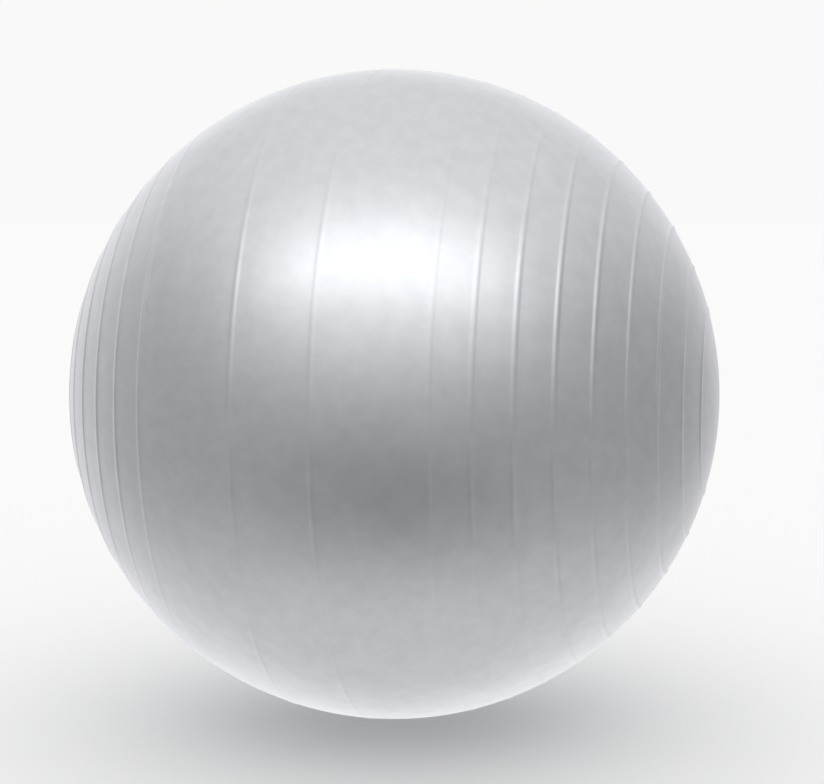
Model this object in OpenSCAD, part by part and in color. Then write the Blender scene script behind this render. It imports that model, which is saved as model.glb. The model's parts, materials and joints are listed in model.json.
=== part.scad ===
// Exercise ball: an inflated skin with raised grip rings, and an air valve closed by a push-in plug.
// The rings and the valve share one axis, which lies along X with the valve at the -X pole.
// The origin is the middle of the flat patch that the ball stands on, and +Z is up. Millimetres.

/* [Skin] */
// Outer diameter of the inflated ball, measured between the grip rings
ball_d = 650; // [450:10:850]
// Thickness of the skin when it is stretched to size
skin_t = 0.8; // [0.6:0.1:1.6]
// Diameter of the patch that the ball's own weight flattens on the floor
floor_patch_d = 56; // [30:2:90]

/* [Grip rings] */
// Height of a grip ring above the skin, near the poles
ring_h = 0.8; // [0.5:0.05:1.5]
// Height of a grip ring above the skin, near the equator, where the skin is stretched most
flat_ring_h = 0.35; // [0.2:0.05:0.5]
// Latitude up to which the rings are as flat as at the equator
flat_until = 20; // [5:1:30]
// Latitude from which the rings have their full height
full_from = 50; // [40:1:65]
// Width of a grip ring where it meets the skin
ring_w = 8; // [5:0.5:11]
// Latitudes of the two lone rings near the equator, negative towards the valve
lone_ring_latitudes = [-14.2, -0.95];
// Latitude of the first close-set ring on the blank half
blank_ring_first = 16.9; // [12:0.1:24]
// Spacing of the first two close-set rings on the blank half, in degrees
blank_ring_pitch = 6.5; // [5:0.1:6.8]
// How much wider each spacing is than the one before it on the blank half, in degrees
blank_ring_growth = 0.17; // [0:0.01:0.3]
// Number of close-set rings on the blank half
blank_ring_count = 9; // [1:1:9]
// Latitude of the first close-set ring on the valve half, counted towards the valve
valve_ring_first = 33; // [22:0.1:36]
// Spacing of the close-set rings on the valve half, in degrees
valve_ring_pitch = 6.6; // [5:0.1:7.4]
// Number of close-set rings on the valve half
valve_ring_count = 7; // [1:1:7]

/* [Valve] */
// Radius of the round pad that thickens the skin behind the valve
pad_r = 22; // [19:0.5:28]
// Thickness of that pad
pad_t = 3.4; // [3:0.1:5]
// Radius of the valve's air bore
bore_r = 4.5; // [3.5:0.1:5]
// Wall of the valve's neck
neck_wall = 2.2; // [1.6:0.1:2.6]
// Length of the neck behind the pad
neck_l = 22; // [20:1:34]
// Radius of the flange that bonds the valve to the pad
flange_r = 17; // [14:0.5:18.5]
// Thickness of the flange at its edge
flange_t = 1.6; // [1:0.1:2.5]
// Length of the chamfer that leads the plug into the bore
lead_in = 0.6; // [0.3:0.1:1]
// Height of the bead round the plug's recess
bead_h = 0.5; // [0.2:0.1:1]
// Width of that bead
bead_w = 2.4; // [1.5:0.1:4]

/* [Plug] */
// Radius of the plug's head
head_r = 9; // [7.5:0.1:11]
// Thickness of the head at its rim
head_t = 1.8; // [1.2:0.1:2.2]
// Height of the dome on top of the head
dome_h = 0.5; // [0.3:0.1:1]
// Width of the two notches that a plug puller hooks into
notch_w = 4; // [2:0.5:6]
// Depth of those notches, inwards from the rim
notch_d = 1.4; // [0.8:0.1:2]
// Length of the stem below the head
stem_l = 13; // [11:0.5:15]
// Number of sealing barbs on the stem
barb_count = 3; // [2:1:4]
// How far a barb stands out from the stem
barb_depth = 0.8; // [0.3:0.1:1.1]
// Width of the band on which each barb seals
barb_land = 0.8; // [0.4:0.1:1.2]
// Radius of the hollow that lets the stem squeeze in
stem_hollow_r = 2; // [1.5:0.1:2.2]
// Thickness of the solid root between the head and that hollow
stem_root = 2.5; // [2:0.5:4]

/* [Fits] */
// Gap between the bore and the plug's barbs, all round
plug_gap = 0.05; // [0.02:0.01:0.1]
// Gap between the head and the wall of its recess, all round
head_gap = 0.6; // [0.3:0.1:1]
// Gap between the head and the floor of its recess
seat_gap = 0.05; // [0.02:0.01:0.2]
// Height above the floor at which a grip ring ends, where the floor presses it into the skin
ring_floor_gap = 0.3; // [0.1:0.1:0.6]

/* [Hidden] */
$fn = 200;

ball_r = ball_d / 2;
floor_patch_r = floor_patch_d / 2;
centre_z = sqrt(ball_r * ball_r - floor_patch_r * floor_patch_r);
blank_ring_latitudes = [
    for (i = [0:blank_ring_count - 1])
        blank_ring_first + i * blank_ring_pitch + blank_ring_growth * i * (i - 1) / 2
];
valve_ring_latitudes = [
    for (i = [0:valve_ring_count - 1])
        -(valve_ring_first + i * valve_ring_pitch)
];
ring_latitudes = concat(valve_ring_latitudes, lone_ring_latitudes, blank_ring_latitudes);

// The head's rim lies level with the skin, so the recess is as deep as the rim and its gap.
recess_r = head_r + head_gap;
recess_depth = head_t + seat_gap;
bead_latitude = -acos((recess_r + bead_w / 2) / ball_r);
collar_r = bore_r + neck_wall;
neck_end = pad_t + neck_l;

barb_r = bore_r - plug_gap;
stem_r = barb_r - barb_depth;
stem_top = seat_gap - recess_depth;
stem_tip = stem_top - stem_l;
barb_pitch = stem_l / (barb_count + 1);
dome_r = (head_r * head_r + dome_h * dome_h) / (2 * dome_h);

cut_margin = 5;

// Puts its children at the valve's pole of the skin, with their +Z pointing out of the ball.
module at_valve() {
    translate([-ball_r, 0, centre_z]) rotate([0, -90, 0]) children();
}

// Section of a raised ring at a latitude of the skin: a low round ridge of width w and height h.
module ring_section(latitude, w, h) {
    ridge_r = (w * w / 4 + h * h) / (2 * h);
    rotate(latitude) translate([ball_r + h - ridge_r, 0]) circle(r = ridge_r);
}

// How far a ring's height has grown from that at the equator, 0, to that near the poles, 1.
function ring_growth(latitude) = max(0, min(1, (abs(latitude) - flat_until) / (full_from - flat_until)));

// Height of the ring at a latitude, which grows smoothly from the equator to the poles.
function ring_height(latitude) =
    flat_ring_h
    + (ring_h - flat_ring_h) * pow(ring_growth(latitude), 2) * (3 - 2 * ring_growth(latitude));

// Half the angle over which the floor presses a ring into the skin: none, where it clears the floor.
function pressed_angle(latitude) =
    acos(min(1, (centre_z - ring_floor_gap) / ((ball_r + ring_height(latitude)) * cos(latitude))));

module grip_ring(latitude) {
    rotate(pressed_angle(latitude)) rotate_extrude(angle = 360 - 2 * pressed_angle(latitude))
        ring_section(latitude, ring_w, ring_height(latitude));
}

module ball_outside() {
    translate([0, 0, centre_z]) rotate([0, 90, 0]) {
        sphere(r = ball_r);
        for (latitude = ring_latitudes) grip_ring(latitude);
        rotate_extrude() ring_section(bead_latitude, bead_w, bead_h);
    }
}

// Everything below a level, as wide as the ball.
module below(level) {
    translate([-ball_d, -ball_d, level - ball_d]) cube([2 * ball_d, 2 * ball_d, ball_d]);
}

// The air space: a smaller ball that keeps clear of the flat patch and of the valve's pad.
module air_space() {
    difference() {
        translate([0, 0, centre_z]) sphere(r = ball_r - skin_t);
        below(skin_t);
        at_valve() translate([0, 0, -pad_t]) cylinder(r = pad_r, h = pad_t + cut_margin);
    }
}

module ball_skin() {
    color("silver") difference() {
        ball_outside();
        below(0);
        air_space();
        at_valve() translate([0, 0, -recess_depth])
            cylinder(r = recess_r, h = recess_depth + cut_margin);
        at_valve() translate([0, 0, -pad_t - cut_margin])
            cylinder(r = collar_r, h = pad_t + 2 * cut_margin);
    }
}

module valve_seat() {
    color("gainsboro") at_valve() rotate_extrude() polygon([
        [bore_r + lead_in, -recess_depth],
        [collar_r, -recess_depth],
        [collar_r, -pad_t],
        [flange_r, -pad_t],
        [flange_r, -pad_t - flange_t],
        [collar_r, -pad_t - 2 * flange_t],
        [collar_r, -neck_end + neck_wall],
        [collar_r - neck_wall / 2, -neck_end],
        [bore_r, -neck_end],
        [bore_r, -recess_depth - lead_in]
    ]);
}

// The head: a disc with a full-round rim and a shallow dome on top.
module plug_head_section() {
    rim_r = head_t / 2;
    translate([0, stem_top]) square([head_r - rim_r, head_t]);
    translate([head_r - rim_r, stem_top + rim_r]) circle(r = rim_r);
    intersection() {
        translate([0, stem_top + head_t + dome_h - dome_r]) circle(r = dome_r);
        translate([0, stem_top + rim_r]) square([head_r - rim_r, rim_r + dome_h]);
    }
}

// The stem: barbs on a hollow core, each with its shoulder towards the head.
module plug_stem_section() {
    polygon([
        [stem_hollow_r, stem_tip],
        for (i = [barb_count:-1:1]) each [
            [stem_r, stem_top - (i + 1) * barb_pitch],
            [barb_r, stem_top - i * barb_pitch - barb_land],
            [barb_r, stem_top - i * barb_pitch]
        ],
        [stem_r, stem_top - barb_pitch],
        [stem_r, stem_top + head_t / 2],
        [0, stem_top + head_t / 2],
        [0, stem_top - stem_root],
        [stem_hollow_r, stem_top - stem_root]
    ]);
}

module valve_plug() {
    color("white") at_valve() difference() {
        rotate_extrude() {
            plug_head_section();
            plug_stem_section();
        }
        for (side = [0, 180]) rotate(side)
            translate([head_r - notch_d, -notch_w / 2, stem_top - cut_margin])
                cube([notch_d + cut_margin, notch_w, head_t + dome_h + 2 * cut_margin]);
    }
}

ball_skin();
valve_seat();
valve_plug();
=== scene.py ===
"""An inflated exercise ball with raised grip rings, its valve and its plug, on a pale studio floor.

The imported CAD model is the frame: the pieces here stand where it says, in metres, +Z up.
Rings and valve share one axis, along X, with the valve at the -X pole of the ball.
"""

import json
import math

import bmesh
import bpy
import numpy as np
from bpy.props import FloatProperty, FloatVectorProperty, IntProperty, PointerProperty, StringProperty
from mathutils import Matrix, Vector

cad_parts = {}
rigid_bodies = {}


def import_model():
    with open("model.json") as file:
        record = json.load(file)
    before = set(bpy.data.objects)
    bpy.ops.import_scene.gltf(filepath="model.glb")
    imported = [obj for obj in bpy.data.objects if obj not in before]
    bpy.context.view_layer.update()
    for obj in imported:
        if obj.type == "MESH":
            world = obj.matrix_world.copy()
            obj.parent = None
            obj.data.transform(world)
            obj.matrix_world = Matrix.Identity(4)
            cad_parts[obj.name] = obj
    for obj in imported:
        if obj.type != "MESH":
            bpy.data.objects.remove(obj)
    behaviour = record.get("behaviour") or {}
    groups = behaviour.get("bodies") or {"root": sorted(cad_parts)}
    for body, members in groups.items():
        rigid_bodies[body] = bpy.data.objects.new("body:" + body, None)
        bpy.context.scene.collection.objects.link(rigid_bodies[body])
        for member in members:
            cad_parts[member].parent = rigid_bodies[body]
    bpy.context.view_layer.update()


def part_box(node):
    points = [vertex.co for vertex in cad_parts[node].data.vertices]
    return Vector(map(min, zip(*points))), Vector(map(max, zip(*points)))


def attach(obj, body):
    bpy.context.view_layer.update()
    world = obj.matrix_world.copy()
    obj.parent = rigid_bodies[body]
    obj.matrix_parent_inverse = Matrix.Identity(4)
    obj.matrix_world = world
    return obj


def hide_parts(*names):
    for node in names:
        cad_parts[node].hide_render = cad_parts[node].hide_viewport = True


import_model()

bl_info = {
    "name": "Exercise ball",
    "version": (1, 0, 0),
    "blender": (4, 5, 0),
    "location": "3D View > Sidebar > Exercise ball",
    "description": "Builds a silver exercise ball, its valve seat and its plug around a CAD frame",
    "category": "Add Mesh",
}

MM = 0.001

UNEVENNESS_SEED = 7
ROWS_ON_RING = 14
ROWS_ON_BEAD = 6
ROWS_INSIDE = 90
VALVE_TURNS = 128
FLOOR_TURNS = 96
FLOOR_STEPS = (0.5, 1.0, 2.0, 4.0, 8.0)
SEAT_CREASE = math.radians(50)
PLUG_CREASE = math.radians(35)

# What stands round the ball: which way it faces from the camera's side, in degrees, its
# brightness, where 1 is full white, and the sines of the heights where it begins, is full, wanes and is gone.
ROOM_ZONES = {
    "lit backdrop": (180, 2.0, -0.9, -0.7, 0.3, 0.7),
    "shaded floor in front": (0, 0.2, -0.9, -0.6, -0.4, 0.0),
    "spill of the softbox": (0, 1.5, 0.0, 0.5, 0.8, 1.0),
    "darker wall on the right": (90, 0.5, -0.5, -0.2, 0.1, 0.4),
}


# ---------------------------------------------------------------- the frame's own sizes


def ball_centre_and_radius():
    """Centre and radius of the bare ball: the valve lies on its axis, and its blank pole is its +X end."""
    lowest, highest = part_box("valve_seat")
    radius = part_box("ball_skin")[1].x
    return Vector((0.0, 0.0, (lowest.z + highest.z) / 2)), radius


def ring_latitudes(ring):
    """Latitudes of all the grip rings, from the valve's half to the blank half, in radians."""
    valve_half = [-(ring.valve_first + i * ring.valve_pitch) for i in range(ring.valve_count)]
    lone = [ring.lone_first, ring.lone_second]
    blank_half = [
        ring.blank_first + i * ring.blank_pitch + ring.blank_growth * i * (i - 1) / 2
        for i in range(ring.blank_count)
    ]
    return sorted(valve_half + lone + blank_half)


# ---------------------------------------------------------------- sizes and colours that a user may change


class GripRings(bpy.types.PropertyGroup):
    """The raised rings that are moulded into the skin."""

    height: FloatProperty(name="Height", description="Height of a ring above the skin, near the poles",
                          default=0.8 * MM, unit="LENGTH", precision=4)
    flat_height: FloatProperty(name="Flat height", description="Height of a ring near the equator",
                               default=0.35 * MM, unit="LENGTH", precision=5)
    flat_until: FloatProperty(name="Flat until", description="Latitude up to which the rings are that flat",
                              default=math.radians(20), unit="ROTATION")
    full_from: FloatProperty(name="Full from", description="Latitude from which they have their full height",
                             default=math.radians(50), unit="ROTATION")
    width: FloatProperty(name="Width", description="Width of a ring where it meets the skin",
                         default=8.0 * MM, unit="LENGTH", precision=4)
    unevenness: FloatProperty(name="Unevenness", description="Share by which a ring's height wanders",
                              default=0.18, min=0.0, max=0.5, subtype="FACTOR")
    lone_first: FloatProperty(name="First lone ring",
                              description="Latitude of the lone ring on the valve half",
                              default=math.radians(-14.2), unit="ROTATION")
    lone_second: FloatProperty(name="Second lone ring", description="Latitude of the ring at the equator",
                               default=math.radians(-0.95), unit="ROTATION")
    blank_first: FloatProperty(name="First ring, blank half",
                               description="Latitude of its first close-set ring",
                               default=math.radians(16.9), unit="ROTATION")
    blank_pitch: FloatProperty(name="Spacing, blank half", description="Spacing of its first two rings",
                               default=math.radians(6.5), unit="ROTATION")
    blank_growth: FloatProperty(name="Growth, blank half", description="Growth of each spacing over the last",
                                default=math.radians(0.17), unit="ROTATION")
    blank_count: IntProperty(name="Rings, blank half", description="Number of close-set rings on it",
                             default=9, min=1)
    valve_first: FloatProperty(name="First ring, valve half",
                               description="Latitude of its first close-set ring",
                               default=math.radians(33), unit="ROTATION")
    valve_pitch: FloatProperty(name="Spacing, valve half", description="Spacing of its rings",
                               default=math.radians(6.6), unit="ROTATION")
    valve_count: IntProperty(name="Rings, valve half", description="Number of close-set rings on it",
                             default=7, min=1)


class SkinSizes(bpy.types.PropertyGroup):
    """The ball's skin, apart from its rings."""

    thickness: FloatProperty(name="Thickness", description="Thickness of the stretched skin",
                             default=0.8 * MM, unit="LENGTH", precision=4)
    pad_radius: FloatProperty(name="Pad radius", description="Radius of the thick pad behind the valve",
                              default=22.0 * MM, unit="LENGTH", precision=4)
    pad_thickness: FloatProperty(name="Pad thickness", description="Thickness of that pad",
                                 default=3.4 * MM, unit="LENGTH", precision=4)
    bead_height: FloatProperty(name="Bead height", description="Height of the bead round the plug's recess",
                               default=0.5 * MM, unit="LENGTH", precision=4)
    bead_width: FloatProperty(name="Bead width", description="Width of that bead",
                              default=2.4 * MM, unit="LENGTH", precision=4)
    wave_height: FloatProperty(name="Wave height", description="Height of the skin's gentle unevenness",
                               default=0.05 * MM, unit="LENGTH", precision=5)
    wave_shortest: FloatProperty(name="Shortest wave", description="Shortest wave of that unevenness",
                                 default=45.0 * MM, unit="LENGTH", precision=3)
    wave_longest: FloatProperty(name="Longest wave", description="Longest wave of that unevenness",
                                default=140.0 * MM, unit="LENGTH", precision=3)
    waves: IntProperty(name="Waves", description="Number of waves laid over each other", default=40, min=1)
    turns: IntProperty(name="Steps round", description="Number of steps round the ball's axis",
                       default=288, min=64)
    step: FloatProperty(name="Latitude step", description="Step between rings, along the skin",
                        default=math.radians(1.25), unit="ROTATION")


class ValveSizes(bpy.types.PropertyGroup):
    """The soft tube that the plug closes."""

    bore_radius: FloatProperty(name="Bore radius", description="Radius of the air bore",
                               default=4.5 * MM, unit="LENGTH", precision=4)
    neck_wall: FloatProperty(name="Neck wall", description="Wall of the neck",
                             default=2.2 * MM, unit="LENGTH", precision=4)
    recess_radius: FloatProperty(name="Recess radius", description="Radius of the recess for the plug's head",
                                 default=9.6 * MM, unit="LENGTH", precision=4)
    recess_depth: FloatProperty(name="Recess depth", description="Depth of that recess",
                                default=1.85 * MM, unit="LENGTH", precision=4)
    flange_thickness: FloatProperty(name="Flange thickness", description="Thickness of the bonded flange",
                                    default=1.6 * MM, unit="LENGTH", precision=4)
    lead_in: FloatProperty(name="Lead-in", description="Rounding of the bore's mouth",
                           default=0.6 * MM, unit="LENGTH", precision=4)


class PlugSizes(bpy.types.PropertyGroup):
    """The push-in plug."""

    head_thickness: FloatProperty(name="Head thickness", description="Thickness of the head at its rim",
                                  default=1.8 * MM, unit="LENGTH", precision=4)
    dome_height: FloatProperty(name="Dome height", description="Height of the shallow dome on the head",
                               default=0.5 * MM, unit="LENGTH", precision=4)
    gate_radius: FloatProperty(name="Gate radius", description="Radius of the mark where the plastic came in",
                               default=1.1 * MM, unit="LENGTH", precision=4)
    gate_depth: FloatProperty(name="Gate depth", description="Depth of that mark",
                              default=0.2 * MM, unit="LENGTH", precision=4)
    barb_count: IntProperty(name="Barbs", description="Number of sealing barbs", default=3, min=1)
    barb_depth: FloatProperty(name="Barb depth", description="How far a barb stands out from the stem",
                              default=0.8 * MM, unit="LENGTH", precision=4)
    barb_land: FloatProperty(name="Barb land", description="Width of the band on which a barb seals",
                             default=0.8 * MM, unit="LENGTH", precision=4)
    bore_gap: FloatProperty(name="Gap in the bore", description="Gap between barbs and bore, all round",
                            default=0.05 * MM, unit="LENGTH", precision=5)
    hollow_radius: FloatProperty(name="Hollow radius", description="Radius of the stem's blind hollow",
                                 default=2.0 * MM, unit="LENGTH", precision=4)
    root: FloatProperty(name="Root", description="Solid stem between the head and the hollow",
                        default=2.5 * MM, unit="LENGTH", precision=4)
    notch_width: FloatProperty(name="Notch width", description="Width of the puller's two notches",
                               default=4.0 * MM, unit="LENGTH", precision=4)
    notch_depth: FloatProperty(name="Notch depth", description="Depth of those notches",
                               default=1.4 * MM, unit="LENGTH", precision=4)


class Finishes(bpy.types.PropertyGroup):
    """Colours, as sRGB hex values."""

    silver: StringProperty(name="Silver vinyl", description="Pearly silver of the skin", default="D0D2D5")
    silver_shade: StringProperty(name="Silver, shaded", description="Its slightly darker clouds",
                                 default="C7C9CD")
    seat: StringProperty(name="Valve seat", description="Soft vinyl of the valve seat", default="C4C4C6")
    plug: StringProperty(name="Plug", description="White of the plug", default="F4F4F2")
    floor: StringProperty(name="Floor", description="Pale floor", default="FCFCFC")
    backdrop: StringProperty(name="Backdrop", description="What stands behind the ball", default="F9F9F9")


class Studio(bpy.types.PropertyGroup):
    """Camera and lights."""

    azimuth: FloatProperty(name="Camera azimuth", description="0 looks along +Y, and 90 along -X",
                           default=math.radians(12.0), unit="ROTATION")
    elevation: FloatProperty(name="Camera elevation", description="Height above the horizon",
                             default=math.radians(6.0), unit="ROTATION")
    distance: FloatProperty(name="Camera distance", description="From the ball's centre, in ball radii",
                            default=6.0)
    lens: FloatProperty(name="Lens", description="Focal length in millimetres", default=84.0)
    shift: FloatVectorProperty(name="Shift", description="Sideways and upward shift of the frame", size=2,
                               default=(0.0211, 0.0024))
    softbox_azimuth: FloatProperty(name="Softbox azimuth", description="From the camera, to its right",
                                   default=math.radians(-4), unit="ROTATION")
    softbox_elevation: FloatProperty(name="Softbox elevation", description="Its height above the horizon",
                                     default=math.radians(47), unit="ROTATION")
    softbox_distance: FloatProperty(name="Softbox distance", description="From the ball's centre",
                                    default=1.8, unit="LENGTH")
    softbox_size: FloatVectorProperty(name="Softbox size", description="Width and height", size=2,
                                      default=(2.4, 0.5), unit="LENGTH")
    softbox_power: FloatProperty(name="Softbox power", description="In watts", default=7.2)
    room_floor: FloatProperty(name="Floor brightness", description="Brightness of the room's floor",
                              default=1.15)
    room_walls: FloatProperty(name="Wall brightness", description="Brightness of its walls",
                              default=0.55)
    room_ceiling: FloatProperty(name="Ceiling brightness", description="Brightness of its ceiling",
                                default=1.3)
    floor_edge: FloatVectorProperty(name="Floor edge", size=2, default=(-0.9, -0.3),
                                    description="Sines of the heights where floor fades into wall")
    ceiling_edge: FloatVectorProperty(name="Ceiling edge", size=2, default=(0.3, 0.8),
                                      description="Sines of the heights where wall fades into ceiling")
    floor_radius: FloatProperty(name="Floor radius", description="Radius of the round floor",
                                default=30.0, unit="LENGTH")


# ---------------------------------------------------------------- nodes and colours


def linear(hex_colour):
    """An sRGB hex value as linear red, green, blue and alpha."""
    channels = [int(hex_colour[i:i + 2], 16) / 255 for i in (0, 2, 4)]
    return [c / 12.92 if c <= 0.04045 else ((c + 0.055) / 1.055) ** 2.4 for c in channels] + [1.0]


def add_node(tree, kind, settings=None, values=None, links=None):
    """Adds one node with its settings, its fixed socket values and its incoming links."""
    node = tree.nodes.new(kind)
    for name, value in (settings or {}).items():
        setattr(node, name, value)
    for socket, value in (values or {}).items():
        node.inputs[socket].default_value = value
    for socket, source in (links or {}).items():
        tree.links.new(source, node.inputs[socket])
    return node


def empty_material(name):
    """A material with an empty node tree."""
    material = bpy.data.materials.new(name)
    material.use_nodes = True
    material.node_tree.nodes.clear()
    return material, material.node_tree


def noise(tree, place, size, detail, roughness=0.5):
    """A soft random pattern whose largest features are of about that size."""
    values = {"Scale": 1 / size, "Detail": detail, "Roughness": roughness}
    return add_node(tree, "ShaderNodeTexNoise", values=values, links={"Vector": place}).outputs["Fac"]


def bump(tree, pattern, strength, depth):
    """A surface normal that follows a pattern of that depth."""
    return add_node(tree, "ShaderNodeBump", values={"Strength": strength, "Distance": depth},
                    links={"Height": pattern}).outputs[0]


def rotomoulded_silver_vinyl(colours):
    """Rotomoulded PVC with silver pearl pigment: a soft metal sheen, faintly clouded and uneven."""
    material, tree = empty_material("Rotomoulded silver vinyl")
    place = add_node(tree, "ShaderNodeTexCoord").outputs["Object"]
    # Pigment gathers in clouds some 16 mm across while the vinyl gels.
    density = add_node(tree, "ShaderNodeMapRange", values={"From Min": 0.25, "From Max": 0.75},
                       links={"Value": noise(tree, place, 16 * MM, 4.0, 0.6)})
    silver = add_node(tree, "ShaderNodeMix", {"data_type": "RGBA"},
                      {6: linear(colours.silver_shade), 7: linear(colours.silver)}, {0: density.outputs[0]})
    # The stretched skin shines a little more where it is thinner, in patches some 60 mm across.
    roughness = add_node(tree, "ShaderNodeMapRange",
                         values={"From Min": 0.3, "From Max": 0.7, "To Min": 0.405, "To Max": 0.435},
                         links={"Value": noise(tree, place, 60 * MM, 1.0)})
    # Orange peel of the mould's blasted surface. The real one is about 0.5 mm across, drawn 4 mm here
    # so that it shows.
    peel = bump(tree, noise(tree, place, 4 * MM, 2.0), 1.0, 0.025 * MM)
    shader = add_node(tree, "ShaderNodeBsdfPrincipled", values={"Metallic": 0.85},
                      links={"Base Color": silver.outputs[2], "Roughness": roughness.outputs[0],
                             "Normal": peel})
    add_node(tree, "ShaderNodeOutputMaterial", links={"Surface": shader.outputs[0]})
    return material


def soft_vinyl(colours):
    """Injection-moulded soft PVC: even, a little waxy, with no metal in it."""
    material, tree = empty_material("Moulded soft vinyl")
    place = add_node(tree, "ShaderNodeTexCoord").outputs["Object"]
    grain = bump(tree, noise(tree, place, 0.5 * MM, 2.0), 0.15, 0.05 * MM)
    shader = add_node(tree, "ShaderNodeBsdfPrincipled",
                      values={"Base Color": linear(colours.seat), "Roughness": 0.45, "IOR": 1.53},
                      links={"Normal": grain})
    add_node(tree, "ShaderNodeOutputMaterial", links={"Surface": shader.outputs[0]})
    return material


def moulded_white_polyethylene(colours):
    """Injection-moulded polyethylene: white, semi-matt, with a fine spark-eroded grain from its mould."""
    material, tree = empty_material("Moulded white polyethylene")
    place = add_node(tree, "ShaderNodeTexCoord").outputs["Object"]
    grain = bump(tree, noise(tree, place, 0.4 * MM, 3.0), 0.2, 0.04 * MM)
    shader = add_node(tree, "ShaderNodeBsdfPrincipled",
                      values={"Base Color": linear(colours.plug), "Roughness": 0.38, "IOR": 1.51},
                      links={"Normal": grain})
    add_node(tree, "ShaderNodeOutputMaterial", links={"Surface": shader.outputs[0]})
    return material


def matt_floor_paint(colours):
    """Matt white studio paint, rolled on: it scatters all light evenly and has no gloss."""
    material, tree = empty_material("Matt floor paint")
    shader = add_node(tree, "ShaderNodeBsdfDiffuse", values={"Color": linear(colours.floor)})
    add_node(tree, "ShaderNodeOutputMaterial", links={"Surface": shader.outputs[0]})
    return material


# ---------------------------------------------------------------- mesh building


def new_piece(name, vertices, faces, material, crease=math.pi):
    """Makes a smooth mesh object. Edges that turn by more than the crease angle stay sharp."""
    form = bmesh.new()
    corners = [form.verts.new(tuple(v)) for v in vertices]
    for face in faces:
        form.faces.new([corners[i] for i in face])
    mesh = bpy.data.meshes.new(name)
    mesh.materials.append(material)
    piece = bpy.data.objects.new(name, mesh)
    bpy.context.scene.collection.objects.link(piece)
    finish_form(form, mesh, crease)
    return piece


def finish_form(form, mesh, crease):
    """Turns all faces outwards, sets which edges are sharp, and stores the form in its mesh."""
    bmesh.ops.recalc_face_normals(form, faces=form.faces)
    for face in form.faces:
        face.smooth = True
    for edge in form.edges:
        edge.smooth = len(edge.link_faces) == 2 and edge.calc_face_angle() <= crease
    form.to_mesh(mesh)
    form.free()
    mesh.update()


def lathe_faces(rows, turns, closed):
    """Faces of a turned grid of rows x turns vertices. A closed outline joins its last row to its first."""
    faces = []
    for i in range(rows if closed else rows - 1):
        j = (i + 1) % rows
        for k in range(turns):
            m = (k + 1) % turns
            faces.append((i * turns + k, i * turns + m, j * turns + m, j * turns + k))
    return faces


def rounded_outline(corners, steps=5):
    """An outline whose corners, each (along, radius, rounding), are replaced by arcs of that rounding."""
    points = []
    count = len(corners)
    for i, (along, radius, rounding) in enumerate(corners):
        here = Vector((along, radius))
        before = Vector(corners[i - 1][:2]) - here
        after = Vector(corners[(i + 1) % count][:2]) - here
        if rounding <= 0:
            points.append(here)
            continue
        half = before.angle(after) / 2
        reach = min(rounding / math.tan(half), before.length * 0.49, after.length * 0.49)
        start, end = here + before.normalized() * reach, here + after.normalized() * reach
        for s in range(steps + 1):
            t = s / steps
            points.append(start.lerp(here, t).lerp(here.lerp(end, t), t))
    return points


def turned_piece(name, outline, turns, material, pole, crease=math.pi):
    """Turns an outline of (outward from the valve's pole, radius) about the ball's axis into a closed piece.

    An outline that starts and ends on the axis gets one point at each of those ends.
    """
    capped = outline[0][1] == 0
    rows = outline[1:-1] if capped else outline
    vertices = []
    for outward, radius in rows:
        for k in range(turns):
            angle = 2 * math.pi * k / turns
            vertices.append((pole.x - outward, pole.y + radius * math.sin(angle),
                             pole.z + radius * math.cos(angle)))
    faces = lathe_faces(len(rows), turns, not capped)
    if capped:
        first, last = len(vertices), len(vertices) + 1
        vertices += [(pole.x - outline[0][0], pole.y, pole.z), (pole.x - outline[-1][0], pole.y, pole.z)]
        for k in range(turns):
            m = (k + 1) % turns
            faces.append((first, m, k))
            faces.append((last, first - turns + k, first - turns + m))
    return new_piece(name, vertices, faces, material, crease)


def cut_away(piece, boxes, edge_width, crease):
    """Cuts boxes, each (middle, size), out of a piece and rounds the sharp edges that leaves."""
    cutters = []
    for middle, size in boxes:
        form = bmesh.new()
        bmesh.ops.create_cube(form, size=1)
        for vertex in form.verts:
            vertex.co = Vector(middle) + Vector(c * d for c, d in zip(vertex.co, size))
        mesh = bpy.data.meshes.new("cutter")
        form.to_mesh(mesh)
        form.free()
        cutter = bpy.data.objects.new("cutter", mesh)
        bpy.context.scene.collection.objects.link(cutter)
        cutters.append(cutter)
        cut = piece.modifiers.new("Notch", "BOOLEAN")
        cut.operation = "DIFFERENCE"
        cut.solver = "EXACT"
        cut.object = cutter
    soften = piece.modifiers.new("Soft edges", "BEVEL")
    soften.width = edge_width
    soften.segments = 2
    soften.limit_method = "ANGLE"
    soften.angle_limit = crease
    bpy.context.view_layer.update()
    shaped = bpy.data.meshes.new_from_object(piece.evaluated_get(bpy.context.evaluated_depsgraph_get()))
    form = bmesh.new()
    form.from_mesh(shaped)
    piece.modifiers.clear()
    finish_form(form, piece.data, crease)
    bpy.data.meshes.remove(shaped)
    for cutter in cutters:
        bpy.data.meshes.remove(cutter.data)


# ---------------------------------------------------------------- operators


class OBJECT_OT_ball_skin(bpy.types.Operator):
    """Turn the ball's skin, with its rings, its recess and its inner wall"""

    bl_idname = "exercise_ball.skin"
    bl_label = "Ball skin"

    def execute(self, context):
        scene = context.scene
        centre, radius = ball_centre_and_radius()
        material = rotomoulded_silver_vinyl(scene.finishes)
        piece = build_skin(scene.grip_rings, scene.skin_sizes, scene.valve_sizes, centre, radius, material)
        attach(piece, "ball")
        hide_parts("ball_skin")
        return {"FINISHED"}


def ring_height(ring, latitude):
    """Height of the ring at a latitude. The skin stretches most at the equator, which flattens it."""
    growth = np.clip((abs(latitude) - ring.flat_until) / (ring.full_from - ring.flat_until), 0.0, 1.0)
    return ring.flat_height + (ring.height - ring.flat_height) * growth ** 2 * (3 - 2 * growth)


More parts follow.
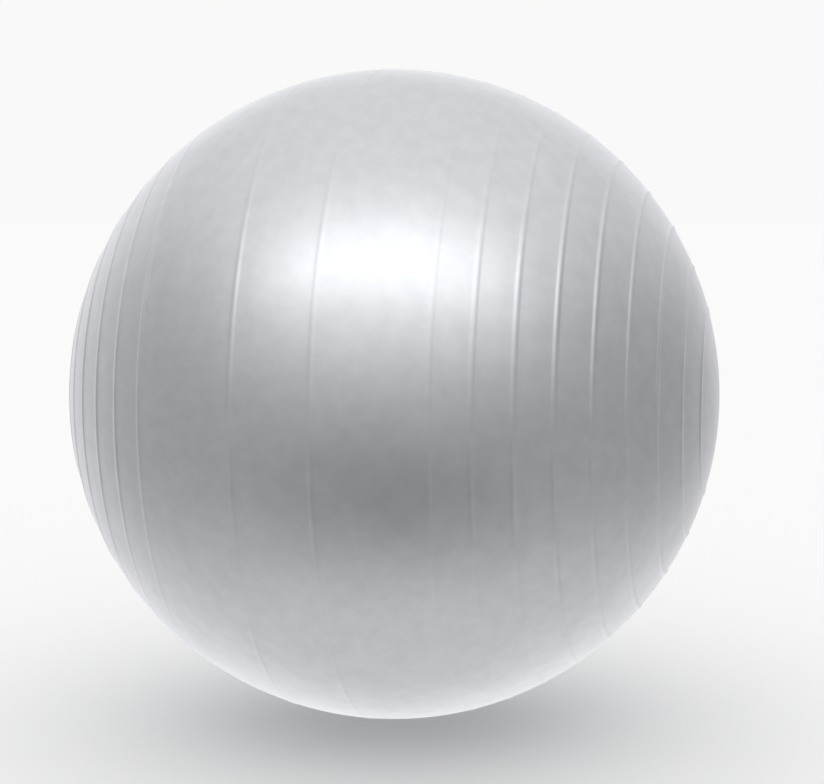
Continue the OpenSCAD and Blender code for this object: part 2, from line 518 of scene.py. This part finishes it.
def ring_profile(offset, width):
    """Height of a ring at a distance from its middle, as a share of its full height: a soft ridge."""
    reach = np.clip(np.abs(offset) / width, 0.0, 0.5)
    return np.cos(math.pi * reach) ** 2


def skin_rows(ring, skin, radius, recess_edge, bead_at):
    """Latitudes of the skin's rows, from the recess to the blank pole: close-set on rings and bead."""
    latitudes = ring_latitudes(ring)
    half_ring = ring.width / 2 / radius
    half_bead = skin.bead_width / 2 / radius
    marks = {at + half_ring * (2 * i / ROWS_ON_RING - 1) for at in latitudes for i in range(ROWS_ON_RING + 1)}
    marks |= {bead_at + half_bead * (2 * i / ROWS_ON_BEAD - 1) for i in range(ROWS_ON_BEAD + 1)}
    clearance = half_ring * 1.3
    latitude = -recess_edge
    while latitude < math.pi / 2 - skin.step / 2:
        if all(abs(latitude - near) > clearance for near in latitudes + [bead_at]):
            marks.add(latitude)
        latitude += skin.step
    return np.array(sorted(mark for mark in marks if mark >= -recess_edge - 1e-9))


def outside_distances(ring, skin, radius, rows, angles, bead_at):
    """Distance of the skin's outside from the ball's centre: rings, slight unevenness, and the bead."""
    wander = np.random.default_rng(UNEVENNESS_SEED)
    outside = np.full((len(rows), len(angles)), radius)
    for latitude in ring_latitudes(ring):
        phases = wander.uniform(0, 2 * math.pi, 4)
        wave = sum(np.sin((n + 2) * angles + phases[n]) for n in range(4)) / 4
        height = ring_height(ring, latitude) * (1 - ring.unevenness * (0.5 + 0.5 * wave))
        outside += np.outer(ring_profile((rows - latitude) * radius, ring.width), height)
    for _ in range(skin.waves):
        tilt = np.arcsin(wander.uniform(-1, 1))
        turn = wander.uniform(0, 2 * math.pi)
        pace = 2 * math.pi * radius / wander.uniform(skin.wave_shortest, skin.wave_longest)
        across = math.cos(tilt) * np.outer(np.cos(rows), np.cos(angles - turn))
        along = math.sin(tilt) * np.sin(rows)[:, None] + across
        wave = np.sin(pace * along + wander.uniform(0, 2 * math.pi))
        outside += skin.wave_height / math.sqrt(skin.waves) * wave
    return outside + skin.bead_height * ring_profile((rows - bead_at) * radius, skin.bead_width)[:, None]


def build_skin(ring, skin, valve, centre, radius, material):
    """The skin as one closed turned shell: outside, recess, pad and inner wall, flattened on the floor."""
    recess_edge = math.acos(valve.recess_radius / radius)
    bead_at = -math.acos((valve.recess_radius + skin.bead_width / 2) / radius)
    rows = skin_rows(ring, skin, radius, recess_edge, bead_at)
    angles = np.linspace(0, 2 * math.pi, skin.turns, endpoint=False)
    outside = outside_distances(ring, skin, radius, rows, angles, bead_at)
    inner_radius = radius - skin.thickness
    pad_edge = math.asin(min(1.0, skin.pad_radius / inner_radius))
    inside_rows = np.linspace(math.pi / 2, -(math.pi / 2 - pad_edge), ROWS_INSIDE)[1:]
    collar = valve.bore_radius + valve.neck_wall

    vertices = [(centre.x + radius, centre.y, centre.z)]
    for latitude, distances in zip(rows[::-1], outside[::-1]):
        for angle, distance in zip(angles, distances):
            flat = distance * math.cos(latitude)
            vertices.append((distance * math.sin(latitude), flat * math.sin(angle),
                             max(centre.z + flat * math.cos(angle), 0.0)))
    for outward, turned in (
        (-valve.recess_depth, valve.recess_radius),
        (-valve.recess_depth, collar),
        (-skin.pad_thickness, collar),
        (-skin.pad_thickness, skin.pad_radius),
    ):
        for angle in angles:
            vertices.append((-radius - outward, turned * math.sin(angle),
                             centre.z + turned * math.cos(angle)))
    for latitude in inside_rows[::-1]:
        flat = inner_radius * math.cos(latitude)
        for angle in angles:
            vertices.append((inner_radius * math.sin(latitude), flat * math.sin(angle),
                             max(centre.z + flat * math.cos(angle), skin.thickness)))
    vertices.append((centre.x + inner_radius, centre.y, centre.z))

    turns = skin.turns
    row_count = (len(vertices) - 2) // turns
    faces = [tuple(1 + v for v in f) for f in lathe_faces(row_count, turns, False)]
    last = len(vertices) - 1
    for k in range(turns):
        m = (k + 1) % turns
        faces.append((0, 1 + m, 1 + k))
        faces.append((last, last - turns + k, last - turns + m))
    return new_piece("silver_ball", vertices, faces, material)


class OBJECT_OT_valve_seat(bpy.types.Operator):
    """Turn the soft valve seat behind the skin's pad"""

    bl_idname = "exercise_ball.valve_seat"
    bl_label = "Valve seat"

    def execute(self, context):
        scene = context.scene
        valve, skin = scene.valve_sizes, scene.skin_sizes
        centre, radius = ball_centre_and_radius()
        lowest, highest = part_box("valve_seat")
        flange = (highest.y - lowest.y) / 2
        end = -(highest.x + radius)
        collar = valve.bore_radius + valve.neck_wall
        pad, thick = -skin.pad_thickness, valve.flange_thickness
        soft = 0.4 * MM
        outline = rounded_outline([
            (-valve.recess_depth, valve.bore_radius, valve.lead_in),
            (-valve.recess_depth, collar, 0),
            (pad, collar, 0),
            (pad, flange, 0),
            (pad - thick, flange, soft),
            (pad - 2 * thick, collar, 3 * soft),
            (end, collar, valve.neck_wall * 0.5),
            (end, valve.bore_radius, soft),
        ])
        pole = Vector((-radius, 0, centre.z))
        piece = turned_piece("valve_sleeve", outline, VALVE_TURNS, soft_vinyl(scene.finishes), pole,
                             SEAT_CREASE)
        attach(piece, "ball")
        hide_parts("valve_seat")
        return {"FINISHED"}


class OBJECT_OT_valve_plug(bpy.types.Operator):
    """Turn the push-in plug and cut its notches"""

    bl_idname = "exercise_ball.valve_plug"
    bl_label = "Valve plug"

    def execute(self, context):
        scene = context.scene
        valve, plug = scene.valve_sizes, scene.plug_sizes
        centre, radius = ball_centre_and_radius()
        lowest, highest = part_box("valve_plug")
        head = (highest.y - lowest.y) / 2
        crown = -(lowest.x + radius)
        tip = -(highest.x + radius)
        under = crown - plug.dome_height - plug.head_thickness
        barb = valve.bore_radius - plug.bore_gap
        stem = barb - plug.barb_depth
        pitch = (under - tip) / (plug.barb_count + 1)
        soft = 0.15 * MM
        rim = plug.head_thickness * 0.48
        dome_radius = (head ** 2 + plug.dome_height ** 2) / (2 * plug.dome_height)
        corners = [(crown - plug.gate_depth, 0.0, 0), (crown - plug.gate_depth, plug.gate_radius, soft)]
        for share in (0.1, 0.25, 0.4, 0.55, 0.7, 0.85):
            across = plug.gate_radius + (head - rim - plug.gate_radius) * share
            corners.append((crown - dome_radius + math.sqrt(dome_radius ** 2 - across ** 2), across, 0))
        corners += [
            (crown - plug.dome_height, head, rim),
            (under, head, rim),
            (under, stem, 2 * soft),
        ]
        for i in range(1, plug.barb_count + 1):
            corners += [
                (under - i * pitch, stem, soft),
                (under - i * pitch, barb, soft),
                (under - i * pitch - plug.barb_land, barb, soft),
            ]
        corners += [
            (tip, stem, 2 * soft),
            (tip, plug.hollow_radius, 2 * soft),
            (under - plug.root, plug.hollow_radius, 4 * soft),
            (under - plug.root, 0.0, 0),
        ]
        pole = Vector((-radius, 0, centre.z))
        piece = turned_piece("valve_stopper", rounded_outline(corners), VALVE_TURNS,
                             moulded_white_polyethylene(scene.finishes), pole, PLUG_CREASE)
        notch_reach = 4 * plug.notch_depth
        notch_size = (4 * plug.head_thickness, plug.notch_width, notch_reach)
        notch_middle = head - plug.notch_depth + notch_reach / 2
        cut_away(piece, [((-radius - (crown + under) / 2, 0, centre.z + side * notch_middle), notch_size)
                         for side in (1, -1)], soft, PLUG_CREASE)
        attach(piece, "plug")
        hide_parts("valve_plug")
        return {"FINISHED"}


class SCENE_OT_studio(bpy.types.Operator):
    """Set up the camera, the pale floor, the softbox and the room that the ball reflects"""

    bl_idname = "exercise_ball.studio"
    bl_label = "Studio"

    def execute(self, context):
        scene = context.scene
        studio, colours = scene.studio, scene.finishes
        centre, radius = ball_centre_and_radius()
        scene.view_settings.view_transform = "Standard"
        make_camera(scene, studio, centre, radius)
        make_softbox(scene, studio, centre)
        make_surroundings(scene, studio, colours)
        make_floor(scene, studio, colours)
        return {"FINISHED"}


def direction(azimuth, elevation):
    """Unit vector from the ball towards something at that azimuth and elevation."""
    flat = math.cos(elevation)
    return Vector((math.sin(azimuth) * flat, -math.cos(azimuth) * flat, math.sin(elevation)))


def aim(thing, place, target):
    """Puts a lamp or a camera at a place and turns its -Z to a target, upright."""
    thing.location = place
    thing.rotation_mode = "QUATERNION"
    thing.rotation_quaternion = (target - place).to_track_quat("-Z", "Y")


def make_camera(scene, studio, centre, radius):
    """The camera, looking at the ball's centre."""
    data = bpy.data.cameras.new("Camera")
    data.lens = studio.lens
    data.shift_x, data.shift_y = studio.shift
    camera = bpy.data.objects.new("Camera", data)
    scene.collection.objects.link(camera)
    back = direction(studio.azimuth, studio.elevation)
    aim(camera, centre + back * studio.distance * radius, centre)
    scene.camera = camera


def make_softbox(scene, studio, centre):
    """A wide softbox above the front of the ball."""
    data = bpy.data.lights.new("Softbox", "AREA")
    data.shape = "RECTANGLE"
    data.size, data.size_y = studio.softbox_size
    data.energy = studio.softbox_power
    lamp = bpy.data.objects.new("Softbox", data)
    scene.collection.objects.link(lamp)
    away = direction(studio.azimuth + studio.softbox_azimuth, studio.softbox_elevation)
    aim(lamp, centre + away * studio.softbox_distance, centre)
    lamp.visible_camera = False
    lit = bpy.data.collections.new("Lit by the softbox")
    for piece in scene.objects:
        if piece.type == "MESH":
            lit.objects.link(piece)
    lamp.light_linking.receiver_collection = lit


def make_surroundings(scene, studio, colours):
    """The room that the ball reflects: a pale floor and ceiling, grey walls, and the zones of ROOM_ZONES.

    The zones fade into each other, and what stands behind the ball is seen as an even backdrop.
    """
    world = bpy.data.worlds.new("White studio")
    scene.world = world
    world.use_nodes = True
    tree = world.node_tree
    tree.nodes.clear()
    towards = add_node(tree, "ShaderNodeTexCoord").outputs["Generated"]
    height = add_node(tree, "ShaderNodeSeparateXYZ", links={0: towards}).outputs["Z"]
    flat = add_node(tree, "ShaderNodeVectorMath", {"operation": "MULTIPLY"}, {1: (1, 1, 0)}, {0: towards})
    level = add_node(tree, "ShaderNodeVectorMath", {"operation": "NORMALIZE"}, links={0: flat.outputs[0]})

    def fade(low, high, at_low=0.0, at_high=1.0):
        return add_node(tree, "ShaderNodeMapRange", {"interpolation_type": "SMOOTHSTEP"},
                        {"From Min": low, "From Max": high, "To Min": at_low, "To Max": at_high},
                        {"Value": height}).outputs[0]

    walls = fade(*studio.floor_edge, studio.room_floor, studio.room_walls)
    room = add_node(tree, "ShaderNodeMix", values={3: studio.room_ceiling},
                    links={0: fade(*studio.ceiling_edge), 2: walls}).outputs[0]
    for turn, brightness, begins, full, wanes, gone in ROOM_ZONES.values():
        facing = direction(studio.azimuth + math.radians(turn), 0)
        along = add_node(tree, "ShaderNodeVectorMath", {"operation": "DOT_PRODUCT"}, {1: facing},
                         {0: level.outputs[0]}).outputs["Value"]
        nearer = add_node(tree, "ShaderNodeMath", {"operation": "MAXIMUM"}, {1: 0.0}, {0: along}).outputs[0]
        share = add_node(tree, "ShaderNodeMath", {"operation": "MULTIPLY"},
                         links={0: nearer, 1: nearer}).outputs[0]
        for edge in (fade(begins, full), fade(gone, wanes)):
            share = add_node(tree, "ShaderNodeMath", {"operation": "MULTIPLY"},
                             links={0: share, 1: edge}).outputs[0]
        room = add_node(tree, "ShaderNodeMix", values={3: brightness}, links={0: share, 2: room}).outputs[0]
    light = add_node(tree, "ShaderNodeBackground", links={"Strength": room})
    seen = add_node(tree, "ShaderNodeBackground", values={"Color": linear(colours.backdrop)})
    camera_ray = add_node(tree, "ShaderNodeLightPath").outputs["Is Camera Ray"]
    mixed = add_node(tree, "ShaderNodeMixShader",
                     links={0: camera_ray, 1: light.outputs[0], 2: seen.outputs[0]})
    add_node(tree, "ShaderNodeOutputWorld", links={"Surface": mixed.outputs[0]})


def make_floor(scene, studio, colours):
    """A wide round floor at the height that the ball stands on."""
    distances = [*FLOOR_STEPS, studio.floor_radius]
    vertices = [(0, 0, 0)]
    for distance in distances:
        for k in range(FLOOR_TURNS):
            angle = 2 * math.pi * k / FLOOR_TURNS
            vertices.append((distance * math.cos(angle), distance * math.sin(angle), 0))
    faces = [(0, 1 + k, 1 + (k + 1) % FLOOR_TURNS) for k in range(FLOOR_TURNS)]
    faces += [tuple(1 + v for v in f[::-1]) for f in lathe_faces(len(distances), FLOOR_TURNS, False)]
    floor = new_piece("floor", vertices, faces, matt_floor_paint(colours))
    floor.visible_glossy = False
    floor.visible_diffuse = False
    floor.visible_shadow = False


class VIEW3D_PT_exercise_ball(bpy.types.Panel):
    """Lists the pieces and their sizes"""

    bl_idname = "VIEW3D_PT_exercise_ball"
    bl_label = "Exercise ball"
    bl_space_type = "VIEW_3D"
    bl_region_type = "UI"
    bl_category = "Exercise ball"

    def draw(self, context):
        layout = self.layout
        for operator in OPERATORS:
            layout.operator(operator.bl_idname)
        for name in GROUPS:
            box = layout.box()
            group = getattr(context.scene, name)
            for key in group.bl_rna.properties.keys():
                if key not in ("rna_type", "name"):
                    box.prop(group, key)


OPERATORS = [OBJECT_OT_ball_skin, OBJECT_OT_valve_seat, OBJECT_OT_valve_plug, SCENE_OT_studio]
GROUPS = {
    "grip_rings": GripRings,
    "skin_sizes": SkinSizes,
    "valve_sizes": ValveSizes,
    "plug_sizes": PlugSizes,
    "finishes": Finishes,
    "studio": Studio,
}


def register():
    """Registers the classes and hangs the settings on the scene."""
    for cls in [*GROUPS.values(), *OPERATORS, VIEW3D_PT_exercise_ball]:
        bpy.utils.register_class(cls)
    for name, cls in GROUPS.items():
        setattr(bpy.types.Scene, name, PointerProperty(type=cls))


def unregister():
    """Takes them away again."""
    for name in GROUPS:
        delattr(bpy.types.Scene, name)
    for cls in [VIEW3D_PT_exercise_ball, *OPERATORS[::-1], *list(GROUPS.values())[::-1]]:
        bpy.utils.unregister_class(cls)


def main():
    register()
    bpy.ops.exercise_ball.skin()
    bpy.ops.exercise_ball.valve_seat()
    bpy.ops.exercise_ball.valve_plug()
    bpy.ops.exercise_ball.studio()


if __name__ == "__main__":
    main()
